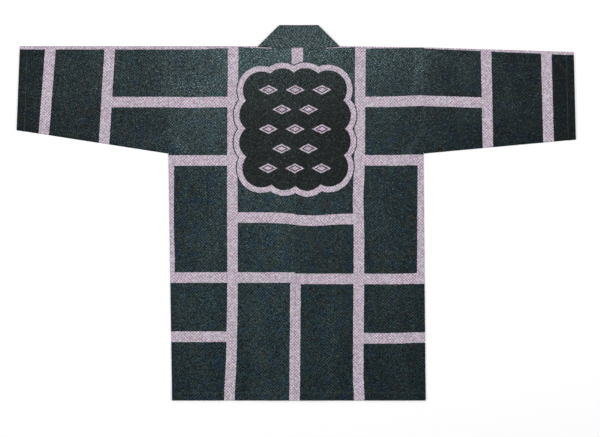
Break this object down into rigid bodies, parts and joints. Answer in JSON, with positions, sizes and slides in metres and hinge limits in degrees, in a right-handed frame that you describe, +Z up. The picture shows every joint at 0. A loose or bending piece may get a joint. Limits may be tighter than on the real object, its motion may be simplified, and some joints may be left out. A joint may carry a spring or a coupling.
{
  "type": "happi coat",
  "caption": "Short straight-cut festival coat laid out flat with its back up, with open sleeves and a folded collar band that runs round the neck and down both fronts.",
  "frame": {"origin": "centre of the laid-out coat's bounding box, on the surface it lies on", "axes": "+X towards the sleeve on the right of the picture, which is the wearer's right, +Y towards the collar, +Z up out of the back, away from the surface it lies on"},
  "size_m": [1.3416, 0.9005, 0.0057],
  "materials": {
    "body_left": "coarse dark blue-green cotton with pale mauve-grey bands",
    "body_right": "coarse dark blue-green cotton with pale mauve-grey bands",
    "sleeve_left": "coarse dark blue-green cotton with pale mauve-grey bands",
    "sleeve_right": "coarse dark blue-green cotton with pale mauve-grey bands",
    "collar": "plain dark blue-green cotton"
  },
  "bodies": {
    "root": {"body_left": "body_left", "body_right": "body_right", "sleeve_left": "sleeve_left", "sleeve_right": "sleeve_right", "collar": "collar"}
  },
  "joints": []
}
